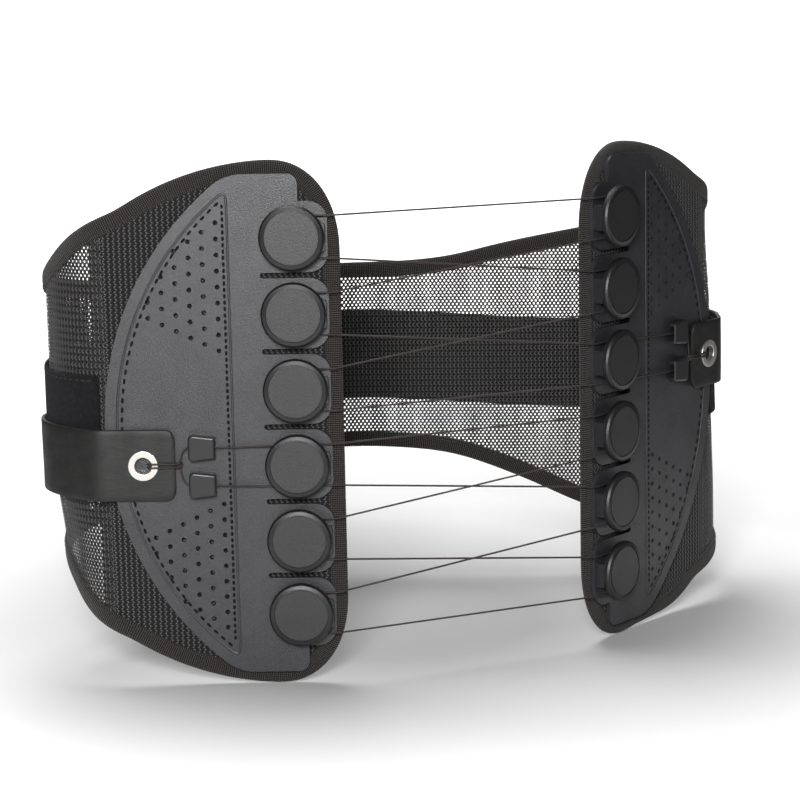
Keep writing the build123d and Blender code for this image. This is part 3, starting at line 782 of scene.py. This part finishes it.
TABS = {
    "left": {"side": -1, "start": 58.2, "z": -17.2, "bells": (-9.0, -27.0), "pulley": 4, "leads": "lower"},
    "right": {"side": 1, "start": 69.4, "z": 10.0, "bells": (24.5, 5.0), "pulley": 3, "leads": "upper"},
}
SAG, LEAD_IN = Vector((0, 0, -0.0003)), 4.2    # a lead's sag in metres, and its end inside the bell
for name, tab in TABS.items():
    side, bell_tip = tab["side"], tab["start"] - BELL_GAP - BELL_LENGTH
    pulley = PULLEYS[tab["pulley"] - 1]
    for place, way, z in zip(("upper", "lower"), (1, -1), tab["bells"]):
        begin = at(side, CORD_END, pulley + way * WRAP, CORD)
        end = at(side, bell_tip + LEAD_IN, z, BELL_AXIS)
        route = [begin, begin.lerp(end, 0.3) + SAG, begin.lerp(end, 0.7) + SAG, end]
        cord_piece(f"{name}_{place}_lead", route, begin, end,
                   f"{tab['leads']}_lead_strands")


# ------------------------------------------------------------------ textile
def rideable(obj, body, slot, *nodes):
    """Ties a piece to its body, in place of the nodes it covers; slot is not used."""
    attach(obj, body)
    if nodes:
        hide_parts(*nodes)
    return obj


# upper half of the tape's section: (in from the edge, out of the textile)
TAPE_HALF = [
    (8.5, 0.95), (8.3, 1.35), (7.2, 1.55), (5.6, 1.66), (4.0, 1.72), (2.4, 1.7), (1.2, 1.5), (0.45, 1.05),
    (0.1, 0.5),
]
TAPE_SECTION = TAPE_HALF + [(0.0, 0.0)] + [(b, -n) for b, n in reversed(TAPE_HALF)] + [(8.15, 0.0)]


def binding_piece(name, side):
    build = Build(f"{name}_edge_binding")
    around = lengths(TAPE_SECTION)
    edge = OUTLINE[side]
    rings, uvs = [], []
    for (q, z), (nq, nz), run in zip(edge, INWARD[side], lengths(edge)):
        rings.append([skin(side, q + b * nq, z + b * nz, n) for b, n in TAPE_SECTION])
        uvs.append([(run * 0.001, a * 0.001) for a in around])
    build.loft(rings, uvs)
    return build.make(edge_binding)


def lining_piece(name, side):
    """The lining's slab, thinner at its rim, sinking under the belt past the bend."""
    build = Build(f"{name}_lining")
    first, past, rows = BACK_EDGE + 6.2, 14, 60
    runs = [FLAT + past - 2.5 * i for i in range(40)]
    runs = [q for q in runs if q > 0] + [-1.5 * i for i in range(10)] + [first]
    rings, uvs = [], []
    for q, bottom, top in reach(side, 6.0, runs):
        if q <= first + 0.01:
            bottom, top = -84.0, 84.0
        fade = min(1.0, max(0.0, (FLAT + past - q) / past))
        outer, inner = 1.45 * fade - 0.9 * (1 - fade), -1.5 * fade - 1.7 * (1 - fade)
        ring, uv = [], []
        for lift, begin, end, shift in ((outer, top, bottom, 0.0), (inner, bottom, top, 0.0007)):
            for i in range(rows + 1):
                z = begin + (end - begin) * i / rows
                rim = min(1.0, min(top - z, z - bottom) / 6)
                ring.append(skin(side, q, z, lift * (0.6 + 0.4 * rim)))
                uv.append((q * 0.001 + shift, z * 0.001))
        uv.append(uv[0])
        rings.append(ring)
        uvs.append(uv)
    build.loft(rings, uvs)
    return build.make(lining_mesh)


def wing_piece(name, side):
    """Two knitted faces of the see-through mesh, a little apart."""
    build = Build(f"{name}_wing_mesh")
    columns, rows = 110, 28
    runs = [END - FRONT_GAP - (END - FLAT + 1.5) * i / columns for i in range(columns + 1)]
    for lift, shift in ((0.28, 0.0), (-0.28, 0.0001)):
        rings, uvs = [], []
        for q, bottom, top in reach(side, 6.5, runs):
            z = [top + (bottom - top) * i / rows for i in range(rows + 1)]
            rings.append([skin(side, q, h, lift) for h in z])
            uvs.append([(q * 0.001 + shift, h * 0.001) for h in z])
        build.loft(rings, uvs, closed=False, caps=False)
    return build.make(belt_mesh, fix_normals=False)


def band_drop(side, q):
    """The loop band's middle, above or below the belt's."""
    hump = eased(q, 110, 190) * eased(q, 320, 200)
    return -5.5 * hump if side > 0 else 4.0 * hump


def band_piece(name, side):
    """The loop band, its near end pressed thin, its edges a little uneven."""
    build = Build(f"{name}_band_fleece")
    start, stop = FLAT + 10.6, END - FRONT_GAP
    section = rounded_section(25.0, 1.55, 0.75, 16)
    around = lengths(section)
    thinned = {start: 0.35, start + 0.25: 0.75, start + 0.7: 0.95}
    n = round((stop - start) / 2.5)
    rings, uvs = [], []
    for q in [*thinned, *(start + (stop - start) * i / n for i in range(1, n + 1))]:
        thin = thinned.get(q, 1.0)
        sway = 1 + (0.25 * sin(q * 0.21) + 0.2 * sin(q * 0.093 + 1.3)) * 0.004
        drop = band_drop(side, q)
        rings.append([skin(side, q, b * sway + drop, 1.87 + k * thin) for b, k in section])
        uvs.append([(q * 0.001, a * 0.001) for a in around])
    build.loft(rings, uvs)
    return build.make(loop_band)


def end_hem(name, side):
    """The belt's own end at the closure, turned over and sewn."""
    build = Build(f"{name}_end_hem")
    section = rounded_section(4.0, 2.6, 0.9, 4)
    around = lengths(section)
    top, bottom = UPPER[side][0][1] - 7.0, 7.0 - LOWER[side][0][1]
    rings, uvs = [], []
    for i in range(41):
        z = top + (bottom - top) * i / 40
        rings.append([skin(side, END - 4.5 + b, z, k) for b, k in section])
        uvs.append([(z * 0.001, a * 0.001) for a in around])
    build.loft(rings, uvs)
    return build.make(edge_binding)


def seam_rows(name, side):
    """Sewing of the tape and of the band, on both faces."""
    body = f"{name}_half"
    build = Build(f"{name}_tape_seam")
    path = trimmed(side, 6.9)
    for lift in (1.6, -1.6):
        stitches(build, path, lambda a, b, c: skin(side, a, b, lift + c), 3.4, 2.3, 0.55, 0.22)
    rideable(build.make(tape_thread), body, "edge_binding")
    build = Build(f"{name}_band_seam")
    for z in (22.8, -22.8):
        path = resample([(FLAT + 13, z), (END - 3, z)], 2.5)
        for lift, height in ((2.6, 0.18), (-0.25, 0.22)):
            stitches(build, path, lambda a, b, c: skin(side, a, b + band_drop(side, a), lift + c),
                     3.4, 2.2, 0.5, height)
    rideable(build.make(tape_thread), body, "loop_band")


def arc_path(radius, low_u):
    """Points of an arc about the panel arc's centre, between its two meetings with u = low_u."""
    half_turn = acos((low_u - ARC_U) / radius)
    n = round(half_turn * radius)
    turns = [half_turn - 2 * half_turn * i / n for i in range(n + 1)]
    return [(ARC_U + radius * cos(turn), radius * sin(turn)) for turn in turns]


def panel_ridge(name, side):
    """Raised line round the sewn field of a panel."""
    build = Build(f"{name}_panel_ridge")
    inner_u = 30.3
    arc = arc_path(142.6, inner_u + 1.6)
    loop = arc + [(inner_u, arc[-1][1] + 1.2), (inner_u, arc[0][1] - 1.2)]
    loop = relaxed(resample(loop + [loop[0]], 1.5)[:-1], 2, closed=True)
    section = [(-0.75, -0.15), (-0.5, 0.16), (-0.15, 0.34), (0.2, 0.34), (0.5, 0.16), (0.75, -0.15)]
    rings, uvs, run = [], [], 0.0
    for a, b, c in zip(loop, loop[1:] + loop[:1], loop[2:] + loop[:2]):
        d = Vector((c[0] - a[0], c[1] - a[1])).normalized()
        run += hypot(b[0] - a[0], b[1] - a[1])
        rings.append([at(side, b[0] - d.y * w, b[1] + d.x * w, FACE + h) for w, h in section])
        uvs.append([(run * 0.001, k * 0.0003) for k in range(len(section) + 1)])
    build.loft(rings + rings[:1], uvs + uvs[:1], caps=False)
    rideable(build.make(panel_plastic), f"{name}_half", "panel_plastic")


def panel_seam(name, side):
    """Stitches inside the ridge, on the panel's face and on the lining behind it."""
    build = Build(f"{name}_panel_seam")
    arc = arc_path(140.3, 33.2)
    top = arc[0][1]
    chord = resample([(32.4, top - 1), (32.4, 1 - top)], 2.0)

    def front(a, b, c):
        return at(side, a, b, FACE + c)

    def behind(a, b, c):
        return skin(side, a, b, -1.5 + c)

    stitches(build, arc, front, 4.6, 2.7, 1.25, 0.25)
    stitches(build, chord, front, 3.0, 2.1, 1.3, 0.25)
    stitches(build, arc, behind, 4.6, 3.0, 0.7, 0.25)
    stitches(build, chord, behind, 3.0, 2.1, 0.7, 0.25)
    rideable(build.make(seam_thread), f"{name}_half", "panel_plastic")


# ------------------------------------------------------------------ pull tabs
def tab_line(start):
    """Plan points of the tab's middle on the right side, from the panel to the band."""
    level = MIDDLE + TAB_LIFT
    first, leave = at(1, start, 0, level) * 1000, at(1, 92, 0, level) * 1000
    settled, radius = TURN + radians(38), R_SIDE + TAB_SIDE_LIFT
    landing = (SIDE_C[0] + radius * sin(settled), SIDE_C[1] - radius * cos(settled))
    d = hypot(landing[0] - leave.x, landing[1] - leave.y)
    path = [(first.x, first.y), (leave.x, leave.y)]
    for i in range(1, 13):
        path.append(hermite((leave.x, leave.y), landing, (d * cos(TURN), d * sin(TURN)),
                            (d * cos(settled), d * sin(settled)), i / 12))
    for i in range(1, 31):
        a = settled + radians(60) * i / 30
        path.append((SIDE_C[0] + radius * sin(a), SIDE_C[1] - radius * cos(a)))
    return resample(path, 1.2)


def half_width(half, corner, end):
    """Half width of a strap with rounded corners, this far from its end."""
    return half - (corner - sqrt(max(0.0, corner**2 - (corner - min(end, corner)) ** 2)))


def eyelet_knife(side, tab):
    """Cylinder that cuts the eyelet's hole in a tab."""
    knife = Build("cutter")
    radius, sides = 4.68, 40
    turns = [2 * pi * j / sides for j in range(sides)]
    u, z = tab["start"] + EYELET, tab["z"]
    rings = [
        [at(side, u + radius * cos(turn), z + radius * sin(turn), h) for turn in turns]
        for h in (MIDDLE + 2, MIDDLE + 11)
    ]
    knife.loft(rings, [[(0, 0)] * (sides + 1)] * 2)
    return knife.make(tab_rubber)


def tab_piece(name):
    tab = TABS[name]
    side, z0 = tab["side"], tab["z"]
    line = tab_line(tab["start"])
    runs = lengths(line)[:-1]
    build = Build(f"{name}_tab_strap")
    rings, uvs = [], []
    for i, ((x, y), run) in enumerate(zip(line, runs)):
        a, b = line[max(0, i - 1)], line[min(len(line) - 1, i + 1)]
        dx, dy = b[0] - a[0], b[1] - a[1]
        size = hypot(dx, dy)
        dx, dy = dx / size, dy / size
        give = max(0.0, lean(side, tab["start"] + run, z0))
        end = min(run, runs[-1] - run)
        thin = min(1.0, 0.45 + end * 0.7)
        section = rounded_section(half_width(17.25, 4.5, end), 2.0 * thin, 0.55, 14)
        ring = []
        for w, h in section:
            wave = give + 0.12 * sin(run * 0.16 + 0.6) + 0.1 * sin(run * 0.07 + w * 0.12)
            ring.append(Vector((side * (x + dy * (h + wave)), y - dx * (h + wave), MID + z0 + w)) * 0.001)
        rings.append(ring)
        uvs.append([(run * 0.001, g * 0.001) for g in lengths(section)])
    build.loft(rings, uvs)
    obj, knife = build.make(tab_rubber, sharp=55), eyelet_knife(side, tab)
    cut = obj.modifiers.new("hole", "BOOLEAN")
    cut.operation, cut.object, cut.solver = "DIFFERENCE", knife, "EXACT"
    applied = bpy.data.meshes.new_from_object(obj.evaluated_get(bpy.context.evaluated_depsgraph_get()))
    obj.modifiers.clear()
    obj.data = applied
    bpy.data.objects.remove(knife)
    rideable(obj, f"{name}_pull", "tab_rubber", f"{name}_pull_tab")


KNOT_GAP, KNOT_R = 2.1, 1.8         # a tab's near end to the knot before it


def tie_cord(name):
    """Two strands from the eyelet over the tab's end to the knot, and a leg from there to each bell."""
    tab = TABS[name]
    side, z0, start = tab["side"], tab["z"], tab["start"]
    build = Build(f"{name}_tie_cord")
    above = MIDDLE + TAB_LIFT + 1.0 + 0.9 + CORD_R + 0.1    # on half the tab and the eyelet's rim
    hole, low = start + EYELET, FACE + KNOT_R + 0.3
    for way in (1, -1):
        tube(build, nurbs("tie", [
            at(side, hole - 2.0, z0 + way * 0.7, above - 2.4),
            at(side, hole - 3.0, z0 + way * 0.8, above - 0.1),
            at(side, hole - 5.5, z0 + way * 0.9, above + 0.15),
            at(side, start + 3, z0 + way * 0.8, above - 0.2),
            at(side, start - 0.6, z0 + way * 0.7, above - 0.5),
            at(side, start - KNOT_GAP, z0 + way * 0.5, low),
        ]), CORD_R * 0.001)
    for z in tab["bells"]:
        tube(build, nurbs("leg", [
            at(side, start - KNOT_GAP, z0, low),
            at(side, start - 2.7, z0 + (z - z0) * 0.45, low - 0.1),
            at(side, start - 4.2, z0 + (z - z0) * 0.9, low - 0.1),
            at(side, start - 6.4, z, low - 0.1),
        ]), CORD_R * 0.001)
    rideable(build.make(cord_thread), f"{name}_pull", "cord", f"{name}_tab_cord")


def tie_knot(name):
    """A trefoil, pulled small."""
    tab = TABS[name]
    side, steps = tab["side"], 48
    build = Build(f"{name}_tie_knot")
    centre = at(side, tab["start"] - KNOT_GAP, tab["z"], FACE + KNOT_R + 0.3)
    ux, uz = at(side, 1, 0, 0) - at(side, 0, 0, 0), Vector((0, 0, 0.001))
    uh = at(side, 0, 0, 1) - at(side, 0, 0, 0)
    loop = []
    for t in (2 * pi * i / steps for i in range(steps + 1)):
        loop.append(
            centre + ux * (0.47 * (sin(t) + 2 * sin(2 * t))) + uz * (0.5 * (cos(t) - 2 * cos(2 * t)))
            + uh * (-0.75 * sin(3 * t))
        )
    tube(build, loop, CORD_R * 0.00105)
    rideable(build.make(cord_thread), f"{name}_pull", "cord", f"{name}_tab_knot")


# ------------------------------------------------------------------ closure flap
FLAP_R = R_FRONT + HALF_BELT + BAND_THICK + 0.3 + 1.0    # the flap's middle, just off the band
FLAP_HALF, FLAP_RUN = 23, 2 * radians(30) * FLAP_R


def flap_spot(s, z, lift):
    """Flap coordinates to metres: s along it, z up, lift out of its middle."""
    a = (s - FLAP_RUN / 2) / FLAP_R
    return Vector(((FLAP_R + lift) * sin(a), FRONT_C[1] + (FLAP_R + lift) * cos(a), MID + z)) * 0.001


def flap_piece():
    build = Build("closure_flap_cover")
    n, ends = round(FLAP_RUN / 2.0), [0, 0.3, 0.8, 1.5, 2.5, 4, 6]
    steps = ends + [FLAP_RUN * i / n for i in range(4, n - 3)] + [FLAP_RUN - d for d in reversed(ends)]
    rings, uvs = [], []
    for s in steps:
        end = min(s, FLAP_RUN - s)
        section = rounded_section(half_width(FLAP_HALF, 8, end), 2.0 * min(1.0, 0.4 + end), 0.7, 12)
        rings.append([flap_spot(s, b, k) for b, k in section])
        uvs.append([(s * 0.001, a * 0.001) for a in lengths(section)])
    build.loft(rings, uvs)
    rideable(build.make(flap_hook), "closure_flap", "flap_hook", "closure_flap")


def flap_seam():
    """Stitches round the flap, on both its faces."""
    build = Build("closure_flap_seam")
    inset, r = 3.0, 5.5
    w, h = FLAP_RUN - 2 * inset, FLAP_HALF - inset
    path = []
    for cx, cz, first in ((w - r, h - r, 0), (r, h - r, 90), (r, r - h, 180), (w - r, r - h, 270)):
        for a in (radians(first + 15 * i) for i in range(7)):
            path.append((inset + cx + r * cos(a), cz + r * sin(a)))
    path = resample(path + [path[0]], 1.5)
    for lift in (1.0, -1.0):
        stitches(build, path, lambda a, b, c: flap_spot(a, b, lift + c), 3.4, 2.3, 0.55, 0.22)
    rideable(build.make(tape_thread), "closure_flap", "flap_hook")


# ------------------------------------------------------------------ everything in place
for name, side in SIDES.items():
    body = f"{name}_half"
    rideable(binding_piece(name, side), body, "edge_binding", f"{name}_back_binding", f"{name}_wing_binding")
    lining = rideable(lining_piece(name, side), body, "lining_mesh", f"{name}_back_lining")
    wing = rideable(wing_piece(name, side), body, "belt_mesh", f"{name}_side_wing")
    band = rideable(band_piece(name, side), body, "loop_band", f"{name}_loop_band")
    rideable(end_hem(name, side), body, "edge_binding")
    seam_rows(name, side)
    panel_ridge(name, side)
    panel_seam(name, side)
    tab_piece(name)
    tie_cord(name)
    tie_knot(name)
flap_piece()
flap_seam()


def cad_looks(side):
    """Material, bevel width in mm and bevel segments of the CAD pieces seen on one side."""
    looks = {
        "back_panel": (panel_plastic, 0.45, 3), "pulley_caps": (cap_plastic[side], 0.14, 2),
        "cord_guards": (pulley_plastic, 0.25, 2), "tab_eyelet": (eyelet_nickel, 0.0, 0),
        "upper_bell": (bell_plastic, 0.3, 2), "lower_bell": (bell_plastic, 0.3, 2),
    }
    looks.update({f"sheave_{number}": (sheave_plastic, 0.0, 0) for number in range(1, 7)})
    return looks


for name, side in SIDES.items():
    for part, (look, width, segments) in cad_looks(side).items():
        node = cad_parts[f"{name}_{part}"]
        node.data.materials.clear()
        node.data.materials.append(look)
        if width:
            bevel = node.modifiers.new("edge", "BEVEL")
            bevel.width, bevel.segments, bevel.limit_method = width * 0.001, segments, "ANGLE"
            bevel.angle_limit, bevel.use_clamp_overlap = radians(40), True


# ------------------------------------------------------------------ stage and light
WHITE = (0.9, 0.9, 0.9)


def floor_look():
    """White where the picture looks, falling off to grey beside it and before it, with a shadow painted grey
    into the floor under the brace.
    """
    m = Mat("studio_floor", WHITE, 0.1)
    c = m.place()
    x, y, _ = m.split(c)
    from_x, from_y = m.op("SUBTRACT", x, EYE[0]), m.op("SUBTRACT", y, EYE[1])
    ahead = m.weigh(from_x, sin(YAW), from_y, cos(YAW))
    aside = m.op("ABSOLUTE", m.weigh(from_x, cos(YAW), from_y, -sin(YAW)))
    edge = m.op("SUBTRACT", aside, m.op("MULTIPLY", ahead, 0.185))
    seen = m.op("MULTIPLY", m.span(edge, 0.0, 0.42, 1.0, 0.0), m.span(ahead, 0.40, 0.92, 0.0, 1.0))
    cloud = m.noise(c, 160.0, 3.0, 0.5)
    white = m.op("MULTIPLY", seen, m.span(cloud, 0.3, 0.7, 0.97, 1.0))
    # painted shadow: the floor's colour darkens towards the brace, down to a quarter of its white
    shade = m.op("SMOOTH_MIN", m.span(m.far(x, y), 0.08, 0.29, 0.25, 1.0), 1.0, 0.1)
    white = m.op("MULTIPLY", white, shade)
    m.set("Base Color", m.ramp(white, [(0.0, (0.2, 0.2, 0.202)), (1.0, WHITE)]))
    m.set("Roughness", m.span(cloud, 0.3, 0.7, 0.9, 0.8))
    m.set("Emission Color", (1, 1, 1, 1))
    m.set("Emission Strength", m.op("MULTIPLY", seen, m.span(ahead, 1.45, 2.1, 0.0, 0.7)))
    return m.m


def wall_look():
    m = Mat("studio_wall", WHITE)
    m.set("Emission Color", (1, 1, 1, 1))
    m.set("Emission Strength", 0.9)
    m.set("Roughness", m.span(m.noise(m.place(), 160.0, 3.0, 0.5), 0.3, 0.7, 0.95, 0.85))
    return m.m


def stage_floor():
    """A disc just under the brace's lowest level."""
    build = Build("studio_floor")
    steps, level, radii = 96, -0.0004, (0.02, 0.5, 1.2, 2.5)
    turns = [2 * pi * j / steps for j in range(steps)]
    rings = [[(r * cos(turn), r * sin(turn), level) for turn in turns] for r in radii]
    build.loft(rings, [[(j / steps, i / 4) for j in range(steps + 1)] for i in range(4)], caps=False)
    c = build.vert((0, 0, level))
    for j in range(steps):
        build.face((c, j, (j + 1) % steps))
    build.make(floor_look())


def stage_wall():
    """The part of a curved backdrop that stands behind the brace."""
    build = Build("studio_wall")
    steps, half_turn = 24, 21
    profile = [(3.45, 0.0), (3.8, 0.02), (4.1, 0.09), (4.35, 0.22), (4.5, 0.4), (4.55, 0.6), (4.55, 0.9)]
    rings = []
    for j in range(steps + 1):
        a = YAW + radians(-half_turn + 2 * half_turn * j / steps)
        rings.append([(EYE[0] + r * sin(a), EYE[1] + r * cos(a), z) for r, z in profile])
    uvs = [[(j / steps, i / 6) for i in range(len(profile))] for j in range(steps + 1)]
    build.loft(rings, uvs, closed=False, caps=False)
    build.make(wall_look(), fix_normals=False)


def light(name, where, target, size, power):
    """A rectangular lamp at where that faces target; size in metres, power in watts."""
    data = bpy.data.lights.new(name, "AREA")
    data.shape, data.size, data.size_y, data.energy = "RECTANGLE", *size, power
    obj = placed(name, data)
    obj.location = where
    obj.rotation_euler = (Vector(target) - Vector(where)).to_track_quat("-Z", "Y").to_euler()


stage_floor()
stage_wall()
light("key", (-0.66, -1.2, 0.62), (-0.12, -0.1, 0.17), (0.34, 0.34), 25)
light("top", (-0.1, 0.3, 1.4), (0, 0, 0), (0.7, 0.7), 14.5)
light("back", (0.7, 1.9, 1.3), (0.55, 1.25, 0), (1.6, 1.0), 16)
world = bpy.data.worlds.new("studio")
world.use_nodes = True
background = world.node_tree.nodes["Background"]
background.inputs["Color"].default_value = (1, 1, 1, 1)
background.inputs["Strength"].default_value = 0.07
bpy.context.scene.world = world
bpy.context.scene.view_settings.view_transform = "Standard"
